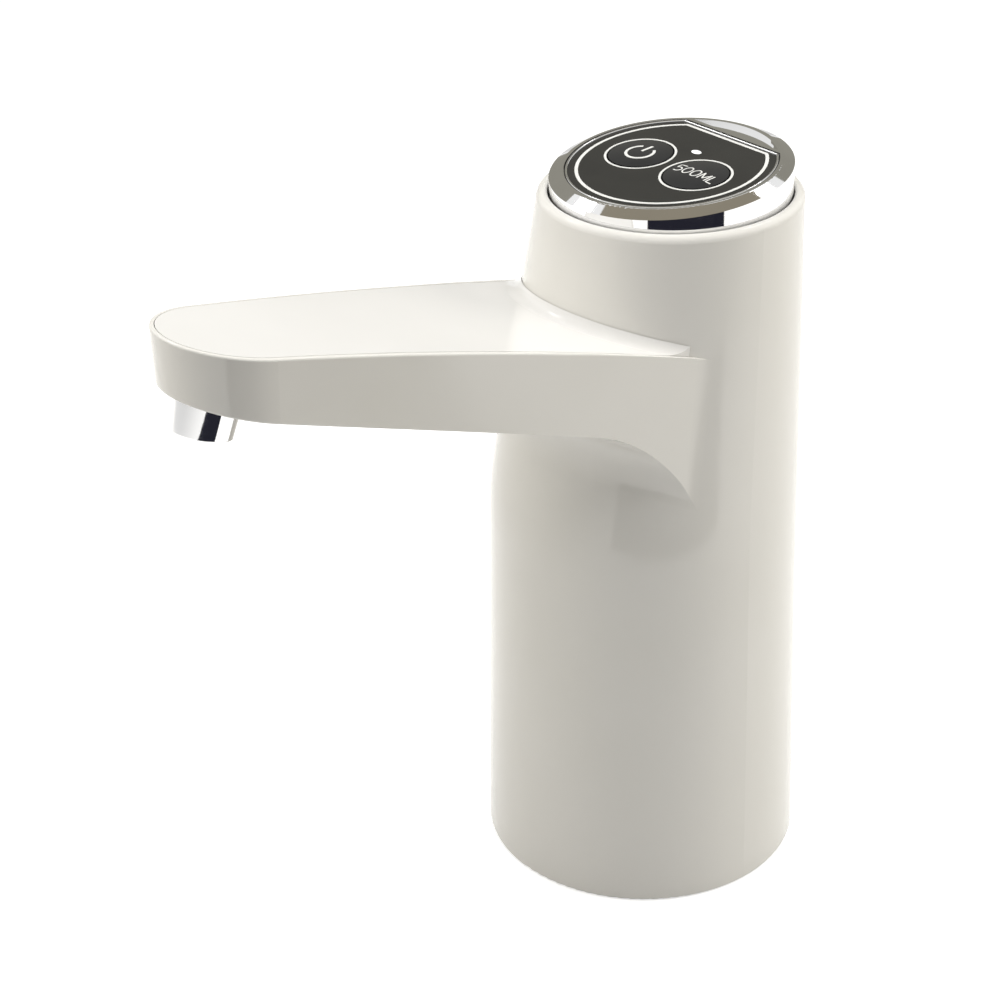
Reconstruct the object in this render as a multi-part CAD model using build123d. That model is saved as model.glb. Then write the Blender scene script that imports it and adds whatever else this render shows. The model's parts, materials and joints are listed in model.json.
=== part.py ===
from build123d import *
import os
from math import acos, asin, cos, degrees, hypot, radians, sin, sqrt, tan

# Bottled water pump: a round column that sits on a bottle neck, with a flat
# upswept spout arm at its head and a chrome ringed control panel on top.
# Millimetres, +Z up, origin at the centre of the foot, spout toward -Y.
# The whole object is symmetric about the plane X = 0 on the outside.

# Column and head
column_taper = 1.8
head_length = 64.0
head_taper = 5.8
head_setback = 6.8
waist_run = 6.0
shell_wall = 2.2
lip_round = 1.6
lip_inner_round = 0.5
foot_round = 0.5

# Spout arm: gently arched top, flat underside, round tip, walls that run on
# into the column. Heights and slopes are those at the arm's middle
arm_middle = 50.0
arm_drop = 12.75
arm_depth = 16.76
arm_top_angle = 14.8
arm_top_arch = 1125.0
arm_under_angle = 17.52
arm_tip_reach = 97.9
arm_tip_radius = 16.0
arm_root_inset = 1.2
arm_root_setback = 3.0
arm_draft_angle = 1.1
arm_root_blend = 14.0
arm_keel_round = 0.5
arm_keel_fade = 1.0
arm_rim_round = 0.45
arm_rim_fade = 1.4

# Arm cover plate
cover_rim = 0.9
cover_thickness = 2.0
cover_seam = 0.15
cover_cove = 3.0
cover_post_radius = 1.6
cover_post_spread = 9.0
cover_post_near = 54.0
cover_post_far = 22.0
cover_post_grip = 3.0
cover_boss_wall = 1.5

# Chrome bezel ring on the head, its top tipped toward the spout
bezel_gap = 0.2
bezel_depth = 6.0
bezel_wall = 1.9
ring_rise = 5.5
ring_tilt_angle = 5.4
ring_band = 2.3
ring_chamfer_angle = 26.0
ring_chamfer_reach = 8.0
ring_crest_round = 1.1
panel_border = 0.8
panel_chord_setback = 5.1
panel_gap = 0.1
panel_recess = 0.25
panel_thickness = 1.6
panel_ledge = 1.6
ledge_thickness = 1.6
chord_bar_width = 0.9
chord_bar_drop = 0.45
chord_facet_angle = 5.0

# Control keys, switches and indicator under the panel
key_spread = 8.4
key_offset = 0.95
key_hole_radius = 7.0
key_gap = 0.3
key_dome = 0.35
key_proud = 0.1
key_flange_width = 0.8
key_flange_thickness = 0.9
key_flange_gap = 0.1
key_stem_radius = 2.4
switch_side = 6.0
switch_height = 3.5
switch_corner = 0.5
plunger_radius = 1.7
plunger_proud = 0.8
plunger_depth = 1.2
plunger_gap = 0.08
plunger_grip = 0.4
board_drop = 8.5
board_thickness = 1.6
board_rim_gap = 1.3
light_long = 1.25
light_short = 0.8
light_offset = 6.9
light_gap = 0.05
light_flange = 1.0
light_foot_gap = 0.1
led_length = 2.8
led_width = 1.4
led_height = 0.8

# Fixing of the bezel and the control board
head_boss_radius = 2.3
head_boss_inset = 4.5
head_screw_radius = 1.0
head_screw_clear = 0.2
head_screw_head = 1.9
head_screw_head_height = 1.2
head_screw_bite = 3.0
board_screw_bite = 3.2
board_boss_inset = 2.2
head_ledge_thickness = 2.5
head_ledge_inset = 2.4
head_ear_radius = 3.4
board_notch_gap = 0.9
driver_slot_width = 0.5
driver_slot_depth = 0.5

# Neck socket, grip ring and hose inlet
socket_lift = 1.2
socket_gap = 0.15
socket_wall = 3.05
socket_depth = 24.0
socket_roof = 2.5
well_radius = 15.0
well_wall = 2.0
well_depth = 17.0
grip_bore = 27.75
grip_wall = 1.85
grip_top_gap = 0.5
grip_chamfer = 0.8
inlet_barb_length = 14.5
inlet_barb_radius = 4.2
inlet_ridge = 0.5
inlet_ridge_pitch = 3.0
inlet_bore = 2.2
inlet_flange_radius = 7.5
inlet_flange_height = 2.0
inlet_stem_radius = 4.6
inlet_nut_height = 2.6
inlet_nut_flats = 12.0
inlet_port_radius = 2.9
inlet_port_height = 7.0
inlet_hole_gap = 0.1

# Chassis that carries the pump and the battery
chassis_floor = 2.5
chassis_gap = 0.4
chassis_wall = 2.5
chassis_wall_width = 41.0
chassis_wall_over = 4.0
chassis_gusset = 12.0
chassis_gusset_thickness = 2.0
column_boss_radius = 3.2
column_boss_inset = 9.5
column_boss_rib = 2.4
column_screw_radius = 1.2
column_screw_head = 2.4
column_screw_head_height = 1.4
column_screw_bite = 7.0

# Battery cell
cell_radius = 9.2
cell_length = 65.0
cell_side_gap = 2.9
cell_place_y = 4.0
cell_tip_radius = 3.0
cell_tip_height = 1.0
cell_cup_wall = 1.5
cell_cup_height = 8.0
cell_gap = 0.2
clip_height = 10.0
clip_wall = 1.2
clip_mouth = 9.0
clip_lift = 43.85
cell_base_lift = 0.5

# Diaphragm pump, standing head down beside the cell
pump_place_x = -7.5
pump_place_y = 5.0
pump_side = 26.0
pump_corner = 3.5
pump_lift = 17.85
cover_block_height = 8.0
valve_plate_height = 2.5
diaphragm_height = 2.0
frame_height = 13.5
frame_bore = 10.6
frame_roof = 2.0
port_radius = 2.9
port_bore = 1.6
port_reach = 5.0
outlet_port_rise = 4.6
wobble_gap = 1.2
wobble_thickness = 2.2
wobble_hole = 5.0
wobble_lift = 1.7
knob_radius = 1.5
knob_place = 7.2
knob_count = 3
pump_screw_radius = 1.1
pump_screw_inset = 2.8
pump_screw_head = 2.0
pump_screw_head_height = 1.4
valve_seat_radius = 2.0
valve_seat_depth = 1.0
cover_chamber_radius = 8.6
cover_chamber_depth = 3.0

# Motor
motor_radius = 12.15
motor_wall = 0.6
motor_length = 30.8
motor_head_room = 29.2
motor_boss_wall = 0.7
motor_boss_height = 1.9
magnet_gap = 0.6
magnet_margin = 5.0
magnet_slot = 5.0
endcap_thickness = 2.2
terminal_width = 2.0
terminal_thickness = 0.5
terminal_height = 4.0
terminal_place = 7.5
brush_width = 2.0
brush_thickness = 0.4
brush_length = 7.0
brush_gap = 0.1
bush_radius = 2.4
bush_length = 2.6
shaft_radius = 1.0
shaft_gap = 0.03
armature_radius = 8.0
armature_margin = 6.0
commutator_radius = 3.4
commutator_length = 4.0
armature_slot_width = 1.2
armature_slot_depth = 2.4
armature_slots = 5
shaft_tail = 1.0
hub_radius = 4.4
hub_length = 4.4
hub_gap = 0.6
crank_offset = 2.6
crank_radius = 1.2
crank_length = 4.2
strap_wall = 0.9
strap_height = 7.0
strap_ear = 5.0
strap_lift = 12.0
strap_screw_radius = 1.0
strap_screw_head = 1.8
strap_screw_head_height = 1.1
strap_gap = 0.1
pad_thickness = 1.0

# Charging board and socket at the rear
port_lift = 51.85
charge_board_width = 17.0
charge_board_height = 24.0
charge_board_thickness = 1.6
charge_standoff = 2.2
charge_standoff_radius = 2.2
charge_screw_radius = 0.9
charge_screw_head = 1.7
charge_screw_head_height = 1.0
charge_screw_inset = 3.5
charge_screw_bite = 2.0
usb_width = 9.0
usb_height = 3.3
usb_corner = 1.2
usb_setback = 0.9
usb_gap = 0.35
usb_wall = 0.3
usb_tongue_width = 6.6
usb_tongue_height = 0.7
usb_tongue_setback = 0.8

# Water tube through the arm
tube_radius = 3.2
tube_bore = 2.0
tube_rise_gap = 12.0
tube_low_bend = 8.0
tube_high_bend = 10.0
tube_floor_gap = 0.8
tube_overlap = 4.0
clamp_wall = 0.5
clamp_width = 2.0
clamp_inset = 1.0

# Nozzle under the tip
nozzle_offset = 7.7
nozzle_length = 6.7
nozzle_top_radius = 7.0
nozzle_mouth_radius = 6.45
nozzle_round = 0.4
nozzle_bore = 4.6
nozzle_bore_depth = 4.7
nozzle_water_bore = 2.3
nozzle_stem_radius = 3.5
nozzle_stem_length = 5.6
nozzle_stem_gap = 0.1
seal_inset = 0.95
seal_thickness = 0.8
insert_thickness = 1.4
insert_setback = 0.9
insert_hole_radius = 0.55
insert_hole_place = 2.6
insert_holes = 6
elbow_wall = 1.5
elbow_height = 6.4
elbow_port_reach = 11.0
elbow_bore = 1.3

# Directions, turns and counts
quarter_turn = 90.0
half_turn = 180.0
full_turn = 360.0
inlet_ridges = 4
nut_sides = 6
waist_steps = 4
ridge_share = 0.8
rib_share = 0.6
inlet_shoulder = 1.0
tube_extra = 0.8
column_screw_angle = 90.0
bezel_screw_angle = 30.0
board_screw_angle = 90.0

# Overrun of every cut, and the depth by which joined shapes run into each other
cut_over = 1.0
join_over = 0.3
big = 200.0

# Shares, as parts of the size that each is taken from
fade_share = 0.5
edge_middle_share = 0.5

# Places and sizes that follow from the ones above, up from the foot
socket_bore = grip_bore + grip_wall
foot_radius = socket_bore + socket_wall + socket_gap + shell_wall
grip_height = socket_depth - socket_lift - grip_top_gap
well_top = socket_depth + socket_roof + well_depth
chassis_base = well_top + well_wall + socket_gap
chassis_top = chassis_base + chassis_floor
pump_floor = chassis_top + pump_lift
valve_floor = pump_floor + cover_block_height
frame_top = valve_floor + valve_plate_height + diaphragm_height + frame_height
head_height = frame_top + motor_length + motor_head_room
waist_radius = foot_radius - column_taper
waist_height = head_height - head_length
waist_low = waist_height - waist_run
waist_top = waist_height + waist_run
head_radius = waist_radius - head_taper
arm_top_height = head_height - arm_drop
arch_middle = -arm_middle - arm_top_arch * sin(radians(arm_top_angle))
arch_base = arm_top_height - arm_top_arch * cos(radians(arm_top_angle))
ring_height = head_height + ring_rise
under_slope = tan(radians(arm_under_angle))
opening_radius = head_radius - shell_wall
bezel_radius = opening_radius - bezel_gap
bezel_bottom = head_height - bezel_depth
ring_radius = bezel_radius - ring_band
panel_radius = ring_radius - panel_border
panel_chord = panel_radius - panel_chord_setback
board_radius = bezel_radius - bezel_wall - board_rim_gap
board_boss_place = board_radius - board_boss_inset
head_boss_place = bezel_radius - head_boss_inset
head_ledge_radius = bezel_radius - head_ledge_inset
port_height = chassis_top + port_lift
chassis_wall_top = port_height + charge_board_height / 2 + chassis_wall_over
inlet_low = well_top - inlet_barb_length
column_boss_place = foot_radius - column_boss_inset
chassis_wall_place = pump_place_y + pump_side / 2 + pad_thickness
pump_screw_place = pump_side / 2 - pump_screw_inset
wobble_radius = frame_bore - wobble_gap
cell_place_x = pump_place_x + pump_side / 2 + cell_side_gap + cell_radius
clip_place = chassis_top + clip_lift
motor_boss_radius = bush_radius + motor_boss_wall
magnet_inner = armature_radius + magnet_gap
charge_screw_place = charge_board_height / 2 - charge_screw_inset
tube_rise_y = pump_side / 2 - pump_place_y + tube_rise_gap
elbow_port_radius = tube_bore
elbow_radius = nozzle_stem_radius + elbow_wall
seal_radius = nozzle_top_radius - seal_inset
nozzle_reach = arm_tip_reach + nozzle_offset


def waist_rise(z):
    # Height above the waist, easing in from nothing over the waist's run
    if z >= waist_top:
        return z - waist_height
    return max(z - waist_low, 0) ** 2 / (waist_top - waist_low) / 2


def column_centre(z):
    return head_setback * waist_rise(z) / head_length


def column_radius(z):
    lower = column_taper / waist_height
    upper = head_taper / head_length
    return foot_radius - lower * (z - waist_rise(z)) - upper * waist_rise(z)


def column_span(low, high, inset):
    # Straight between two levels, smooth through five of them at the waist
    waist = waist_low <= low < high <= waist_top
    count = waist_steps if waist else 1
    ends = []
    for index in range(count + 1):
        z = low + (high - low) * index / count
        ends.append(Pos(0, column_centre(z), z) * Circle(column_radius(z) - inset))
    return loft(ends, ruled=not waist)


def column_block(low, high, inset):
    levels = [low, high] + [z for z in (waist_low, waist_top) if low < z < high]
    levels.sort()
    column = None
    for start, end in zip(levels, levels[1:]):
        span = column_span(start, end, inset)
        column = span if column is None else column + span
    return column


def arm_top(y):
    return arch_base + sqrt(arm_top_arch**2 - (y - arch_middle) ** 2)


def arm_under(y):
    return arm_top_height - arm_depth - (arm_middle + y) * under_slope


def arm_tip_depth():
    return arm_top(-arm_tip_reach) - arm_under(-arm_tip_reach)


def arm_outline(z, tip, inset):
    # The root end follows the column's own circle at this height, just inside it
    root = column_radius(z) - arm_root_inset - inset
    back = column_centre(z)
    lean = asin((root - tip) / (arm_tip_reach + back))
    tip_x, tip_y = tip * cos(lean), -arm_tip_reach - tip * sin(lean)
    root_x, root_y = root * cos(lean), back - root * sin(lean)
    edges = [
        Line((tip_x, tip_y), (root_x, root_y)),
        ThreePointArc((root_x, root_y), (0, back + root), (-root_x, root_y)),
        Line((-root_x, root_y), (-tip_x, tip_y)),
        ThreePointArc((-tip_x, tip_y), (0, -arm_tip_reach - tip), (tip_x, tip_y)),
    ]
    return Pos(0, 0, z) * make_face(Curve() + edges)


def arm_prism(inset):
    low, high = waist_top, head_height + arm_tip_radius
    draft = (high - low) * tan(radians(arm_draft_angle))
    tip = arm_tip_radius - inset
    ends = [arm_outline(low, tip - draft, inset), arm_outline(high, tip, inset)]
    return loft(ends, ruled=True)


def arm_roof(start, end, drop):
    # The arm's top as an arc between two places along it
    first, last = [
        degrees(acos((y - arch_middle) / arm_top_arch)) for y in (start, end)
    ]
    centre = (arch_middle, arch_base - drop)
    return CenterArc(centre, arm_top_arch, first, last - first)


def arm_slab(top_drop, under_rise, top_fade=0, under_fade=0):
    # The fades turn the root end of either side away from the arm
    near, far = arm_root_setback, -arm_tip_reach - foot_radius
    bend = -arm_tip_reach * fade_share if top_fade > 0 else near
    roof = arm_roof(far, bend, top_drop)
    edges = [roof]
    corner = roof @ 1
    if top_fade > 0:
        corner = Vector(near, arm_top(near) - top_drop + top_fade)
        edges.append(TangentArc(roof @ 1, corner, tangent=roof % 1))
    far_fade = under_fade * foot_radius / arm_tip_reach
    low = (near, arm_under(near) + under_rise - under_fade)
    low_far = (far, arm_under(far) + under_rise + far_fade)
    edges += [Line(corner, low), Line(low, low_far), Line(low_far, roof @ 0)]
    side = make_face(Curve() + edges)
    return extrude(Plane.YZ * side, foot_radius, both=True)


def arm_block(inset, top_drop, under_rise):
    return arm_prism(inset) & arm_slab(top_drop, under_rise)


def cylinder(radius, low, high, x=0, y=0):
    disc = Cylinder(radius, high - low, align=(Align.CENTER, Align.CENTER, Align.MIN))
    return Pos(x, y, low) * disc


def block(width, depth, height):
    return Box(width, depth, height, align=(Align.CENTER, Align.CENTER, Align.MIN))


def spin(points):
    face = make_face(Polyline(*points, close=True))
    return revolve(Plane.XZ * face, Axis.Z)


def root_edges(body):
    # The seam of the arm's walls and underside with the column
    found = []
    for edge in body.edges():
        middle = edge.position_at(edge_middle_share)
        away = hypot(middle.X, middle.Y - column_centre(middle.Z))
        seam = abs(away - column_radius(middle.Z)) < join_over
        above = waist_top < middle.Z < arm_top(middle.Y) - join_over
        if seam and above and middle.Y < 0:
            found.append(edge)
    return found


def tip_edges(body, upper):
    # The edges round the arm's top or underside, without the hidden root edge
    middle = arm_top(-arm_tip_reach) - arm_tip_depth() / 2
    found = []
    for edge in body.edges():
        box = edge.bounding_box()
        if box.min.Y > -arm_tip_reach or box.size.Y < arm_tip_radius / 2:
            continue
        high = edge.position_at(1).Z + edge.position_at(0).Z
        tip_end = box.max.Z if box.size.Y > arm_tip_reach / 2 else high / 2
        if (tip_end > middle) == upper:
            found.append(edge)
    return found


def rounded_column():
    column = column_block(0, head_height, 0)
    column = fillet([e for e in column.edges() if is_lip(e, head_radius)], lip_round)
    return fillet([e for e in column.edges() if is_foot(e)], foot_round)


def body_outside():
    body = rounded_column() + rounded_arm()
    return fillet(root_edges(body), arm_root_blend)


def rounded_arm():
    # The rounding of the upper and lower edge fades out toward the column
    arm = arm_prism(0) & arm_slab(0, 0, arm_rim_fade, arm_keel_fade)
    arm = fillet(tip_edges(arm, True), arm_rim_round)
    arm = fillet(tip_edges(arm, False), arm_keel_round)
    return arm & arm_slab(0, 0)


def body_inside():
    # The hollow of the column and the arm, one wall inside the outer skin
    rise = shell_wall / cos(radians(arm_under_angle))
    low = column_block(-cut_over, head_height + cut_over, shell_wall)
    return low + arm_block(shell_wall, cover_thickness, rise)


def screw_angles(first):
    return [first + index * full_turn / 3 for index in range(3)]


def ring_place(radius, angle):
    return Pos(radius * cos(radians(angle)), radius * sin(radians(angle)), 0)


def column_bosses():
    # Three posts inside the column that take the screws of the foot and chassis
    low, high = socket_depth + socket_roof, chassis_base
    posts = None
    for angle in screw_angles(column_screw_angle):
        post = ring_place(column_boss_place, angle) * cylinder(
            column_boss_radius, low, high
        )
        reach = waist_radius - column_boss_place
        rib = Pos(0, 0, low) * block(reach, column_boss_rib, high - low)
        spot = ring_place(column_boss_place + reach / 2, angle)
        posts = post + posts if posts else post
        posts += spot * Rot(Z=angle) * rib
    bores = [
        ring_place(column_boss_place, angle)
        * cylinder(column_screw_radius, low - cut_over, high + cut_over)
        for angle in screw_angles(column_screw_angle)
    ]
    return (posts - bores) & column_block(low, high, shell_wall / 2)


def head_ledge():
    # The ring inside the head that the bezel stands on, with three screw ears
    high = bezel_bottom
    low = high - head_ledge_thickness
    ring = column_block(low, high, shell_wall / 2)
    bore = cylinder(head_ledge_radius, low - cut_over, high + cut_over, 0, head_setback)
    ears = None
    holes = []
    for angle in screw_angles(bezel_screw_angle):
        spot = Pos(0, head_setback, 0) * ring_place(head_boss_place, angle)
        ear = spot * cylinder(head_ear_radius, low, high)
        ears = ear if ears is None else ears + ear
        clear = head_screw_radius + head_screw_clear
        holes.append(spot * cylinder(clear, low - cut_over, high + cut_over))
    ears = ears & column_block(low, high, shell_wall / 2)
    return (ring - bore) + ears - holes


def usb_window():
    mouth = RectangleRounded(
        usb_width + usb_gap * 2, usb_height + usb_gap * 2, usb_corner + usb_gap
    )
    hole = extrude(Plane.XZ * mouth, waist_radius * 2)
    return Pos(0, waist_radius * 2 + chassis_wall_place, port_height) * hole


def cover_posts(radius, low, high):
    posts = []
    for side in (-1, 1):
        for short in (cover_post_near, cover_post_far):
            y = short - arm_tip_reach
            posts.append(cylinder(radius, low, high, side * cover_post_spread, y))
    return posts


def post_bosses():
    # Sleeves on the arm's floor that grip the cover's posts
    outer = None
    for post in cover_posts(cover_post_radius + cover_boss_wall, 0, big):
        outer = post if outer is None else outer + post
    middle = (arm_tip_depth() - cover_thickness) / 2
    rise = shell_wall / 2
    return outer & arm_slab(cover_thickness + middle, rise)


def post_pits():
    floor = arm_slab(-foot_radius, shell_wall * 2)
    return [
        post & floor
        for post in cover_posts(cover_post_radius + cover_seam, 0, big)
    ]


def cover_pocket():
    # The rebate that the cover plate lies in, stopping at the upper column
    slab = arm_slab(-cover_thickness, 0) - arm_slab(cover_thickness, -foot_radius)
    pocket = arm_prism(cover_rim) & slab
    return pocket - column_block(waist_top, head_height, 0)


def nozzle_frame():
    # Local frame on the arm's underside, its +Z pointing up into the arm
    height = arm_under(-nozzle_reach)
    return Pos(0, -nozzle_reach, height) * Rot(X=-arm_under_angle)


def body_shell():
    shell = body_outside() - body_inside()
    lip_inner = [e for e in shell.edges() if is_lip(e, opening_radius)]
    shell = fillet(lip_inner, lip_inner_round)
    shell = shell - cover_pocket()
    shell = shell + column_bosses() + head_ledge() + post_bosses()
    clear = nozzle_stem_radius + nozzle_stem_gap
    stem = cylinder(clear, -cut_over, shell_wall + cut_over)
    cuts = [usb_window(), nozzle_frame() * stem] + post_pits()
    return shell - cuts


def is_lip(edge, radius):
    box = edge.bounding_box()
    level = abs(box.min.Z - head_height) < join_over
    flat = box.size.Z < join_over
    return level and flat and abs(box.size.X / 2 - radius) < join_over


def is_foot(edge):
    box = edge.bounding_box()
    return box.max.Z < join_over and abs(box.size.X / 2 - foot_radius) < join_over


def arm_cover():
    inset = cover_rim + cover_seam
    slab = arm_slab(0, 0) - arm_slab(cover_thickness, -foot_radius)
    # The cove is rounded on a wider plate, which is then cut to its own outline
    plate = arm_prism(-cover_cove * 2) & slab
    joined = plate + column_block(waist_top, head_height, 0)
    seam = joined.edges().filter_by(is_cove).sort_by(Axis.Z)
    joined = fillet(seam[-1], cover_cove)
    cover = joined - column_block(waist_top, head_height, -cover_seam)
    cover = cover & arm_slab(-foot_radius, 0) & arm_prism(inset)
    cover = max(cover.solids(), key=lambda s: s.volume)
    top = cover_thickness + (arm_tip_depth() - cover_thickness) / 2
    low = top - cover_seam * 2 + cover_post_grip
    reach = arm_slab(cover_thickness - join_over, 0) - arm_slab(low, -foot_radius)
    for post in cover_posts(cover_post_radius, 0, big):
        cover = cover + (post & reach)
    return cover


def is_cove(edge):
    box = edge.bounding_box()
    front = box.min.Y > -waist_radius and box.max.Y < arm_root_setback + join_over
    return front and box.size.X > waist_radius and box.size.Z < foot_radius / 2


def ring_frame():
    return Pos(0, head_setback, ring_height) * Rot(X=ring_tilt_angle)


def panel_plan(radius, chord):
    disc = Circle(radius)
    cut = Rectangle(radius * 2, radius * 2)
    return disc - Pos(0, chord + radius, 0) * cut


def ring_slice(sketch, top, depth):
    # A flat shape in the tipped frame, from top down through depth
    return ring_frame() * Pos(0, 0, top - depth) * extrude(sketch, depth)


def bezel():
    slope = tan(radians(ring_chamfer_angle))
    edge = ring_radius + ring_chamfer_reach
    low = -ring_chamfer_reach * slope
    base = low - foot_radius
    cap = spin([(0, 0), (ring_radius, 0), (edge, low), (edge, base), (0, base)])
    crest = [e for e in cap.edges() if e.bounding_box().min.Z > -join_over]
    cap = fillet(crest, ring_crest_round)
    top = ring_height + ring_radius
    ring = cylinder(bezel_radius, bezel_bottom, top, 0, head_setback)
    ring = ring & (ring_frame() * cap)
    seat = panel_recess + panel_thickness
    plan = panel_plan(panel_radius + panel_gap, panel_chord + panel_gap)
    recess = ring_slice(plan, cut_over, seat + cut_over)
    ledge = panel_plan(panel_radius - panel_ledge, panel_chord - panel_ledge)
    window = ring_slice(ledge, 0, seat + ledge_thickness + cut_over)
    under = -seat - ledge_thickness
    bore = cylinder(bezel_radius - bezel_wall, 0, ring_height * 2, 0, head_setback)
    hollow = ring_slice(Circle(big), under, ring_height) & bore
    ring = ring - recess - window - hollow - chord_facet()
    bosses = head_bosses(under)
    outer = cylinder(bezel_radius, bezel_bottom, top, 0, head_setback)
    return ring + (bosses & outer)


def chord_facet():
    # The flat behind the panel, below a raised bar along the panel's chord
    start = panel_chord + panel_gap + chord_bar_width
    sheet = panel_plan(ring_radius - chord_bar_width, big)
    away = Pos(0, start - big / 2, 0) * Rectangle(big, big)
    tilt = Pos(0, start, -chord_bar_drop) * Rot(X=-chord_facet_angle)
    above = tilt * Pos(0, -start, 0) * extrude(Rectangle(big, big), ring_radius)
    column = Pos(0, 0, -ring_radius) * extrude(sheet - away, ring_radius * 2)
    return ring_frame() * (column & above)


def head_bosses(under):
    # Three posts for the ring's own screws and three for the board's
    posts = None
    for angle in screw_angles(bezel_screw_angle):
        spot = Pos(0, head_setback, 0) * ring_place(head_boss_place, angle)
        post = spot * cylinder(head_boss_radius, bezel_bottom, ring_height * 2)
        bore = spot * cylinder(
            head_screw_radius, 0, bezel_bottom + head_screw_bite + cut_over
        )
        post = post - bore
        posts = post if posts is None else posts + post
    for angle in screw_angles(board_screw_angle):
        spot = ring_frame() * ring_place(board_boss_place, angle)
        post = cylinder(head_boss_radius, -board_drop, under + join_over)
        bore = cylinder(
            head_screw_radius, -board_drop - cut_over, -board_drop + board_screw_bite
        )
        posts += spot * (post - bore)
    limit = ring_slice(Circle(big), under + join_over, ring_height)
    return posts & limit


def control_panel():
    plan = panel_plan(panel_radius, panel_chord)
    holes = [
        Pos(side * key_spread, -key_offset, 0) * Circle(key_hole_radius)
        for side in (-1, 1)
    ]
    slot = Ellipse(light_long + light_gap, light_short + light_gap)
    holes.append(Pos(0, light_offset, 0) * slot)
    return ring_slice(plan - holes, -panel_recess, panel_thickness)


def control_key(side):
    radius = key_hole_radius - key_gap
    top = -panel_recess + key_proud
    under = -panel_recess - panel_thickness - key_flange_gap
    flange_low = under - key_flange_thickness
    stem_low = -board_drop + switch_height + plunger_proud
    crown = radius * radius / key_dome / 2 + key_dome / 2
    cap = cylinder(radius, flange_low, top + key_dome)
    ball = Pos(0, 0, top + key_dome - crown) * Sphere(crown)
    flange = cylinder(key_hole_radius + key_flange_width, flange_low, under)
    stem = cylinder(key_stem_radius, stem_low, flange_low + join_over)
    key = (cap & ball) + flange + stem
    return ring_frame() * Pos(side * key_spread, -key_offset, 0) * key


def switch_plunger(side):
    top = -board_drop + switch_height
    rod = cylinder(plunger_radius, top - plunger_grip, top + plunger_proud)
    return ring_frame() * Pos(side * key_spread, -key_offset, 0) * rod


def switch_body(side):
    top = -board_drop + switch_height
    plan = RectangleRounded(switch_side, switch_side, switch_corner)
    body = Pos(0, 0, -board_drop) * extrude(plan, switch_height)
    well = cylinder(plunger_radius + plunger_gap, top - plunger_depth, top + cut_over)
    return ring_frame() * Pos(side * key_spread, -key_offset, 0) * (body - well)


def light_pipe():
    rod = Ellipse(light_long, light_short)
    low = -board_drop + led_height + light_foot_gap
    pipe = Pos(0, 0, low) * extrude(rod, -panel_recess - low)
    foot = Ellipse(light_long + light_flange, light_short + light_flange)
    under = -panel_recess - panel_thickness
    flange = Pos(0, 0, under - light_flange) * extrude(foot, light_flange)
    return ring_frame() * Pos(0, light_offset, 0) * (pipe + flange)


def indicator_led():
    chip = Pos(0, 0, -board_drop) * block(led_length, led_width, led_height)
    return ring_frame() * Pos(0, light_offset, 0) * chip


def control_board():
    plan = Circle(board_radius)
    clear = head_screw_radius + head_screw_clear
    for angle in screw_angles(board_screw_angle):
        plan -= ring_place(board_boss_place, angle) * Circle(clear)
    for angle in screw_angles(bezel_screw_angle):
        notch = Circle(head_ear_radius + board_notch_gap)
        plan -= ring_place(head_boss_place, angle) * notch
    return ring_slice(plan, -board_drop, board_thickness)


def pan_screw(radius, length, head, head_height):
    # Head below the origin, shank rising from it, a driving slot in the head
    shank = cylinder(radius, 0, length)
    cap = cylinder(head, -head_height, 0)
    slot = Pos(0, 0, -head_height) * block(
        head * 2, driver_slot_width, driver_slot_depth
    )
    return cap + shank - slot


def as_one(solids):
    return Compound(children=[s for item in solids for s in item.solids()])


def board_screws():
    screws = []
    for angle in screw_angles(board_screw_angle):
        length = board_thickness + board_screw_bite
        screw = pan_screw(
            head_screw_radius, length, head_screw_head, head_screw_head_height
        )
        low = Pos(0, 0, -board_drop - board_thickness)
        spot = ring_frame() * ring_place(board_boss_place, angle) * low
        screws.append(spot * screw)
    return as_one(screws)


def bezel_screws():
    screws = []
    for angle in screw_angles(bezel_screw_angle):
        length = head_ledge_thickness + head_screw_bite
        screw = pan_screw(
            head_screw_radius, length, head_screw_head, head_screw_head_height
        )
        spot = Pos(0, head_setback, bezel_bottom - head_ledge_thickness)
        screws.append(spot * ring_place(head_boss_place, angle) * screw)
    return as_one(screws)


def base_socket():
    # Cup for the bottle neck, with a raised well that covers the hose inlet
    plate_top = socket_depth + socket_roof
    skirt = column_block(socket_lift, plate_top, shell_wall + socket_gap)
    bore = cylinder(socket_bore, 0, socket_depth)
    well = cylinder(well_radius + well_wall, socket_depth, well_top + well_wall)
    hollow = cylinder(well_radius, 0, well_top)
    stem = cylinder(inlet_stem_radius + inlet_hole_gap, 0, head_height)
    socket = (skirt - bore) + well - hollow - stem
    for angle in screw_angles(column_screw_angle):
        spot = ring_place(column_boss_place, angle)
        clear = column_screw_radius + head_screw_clear
        sink = column_screw_head + head_screw_clear
        socket -= spot * cylinder(clear, 0, plate_top + cut_over)
        socket -= spot * cylinder(sink, 0, socket_depth + column_screw_head_height)
    return socket


def neck_grip():
    low = socket_lift
    high = low + grip_height
    ring = cylinder(socket_bore, low, high) - cylinder(grip_bore, 0, high + cut_over)
    lead = Cone(
        grip_bore + grip_chamfer,
        grip_bore,
        grip_chamfer,
        align=(Align.CENTER, Align.CENTER, Align.MIN),
    )
    return ring - Pos(0, 0, low) * lead


def socket_screws():
    screws = []
    for angle in screw_angles(column_screw_angle):
        low = socket_depth + column_screw_head_height
        length = socket_roof - column_screw_head_height + column_screw_bite
        screw = pan_screw(
            column_screw_radius, length, column_screw_head, column_screw_head_height
        )
        screws.append(ring_place(column_boss_place, angle) * Pos(0, 0, low) * screw)
    return as_one(screws)


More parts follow.
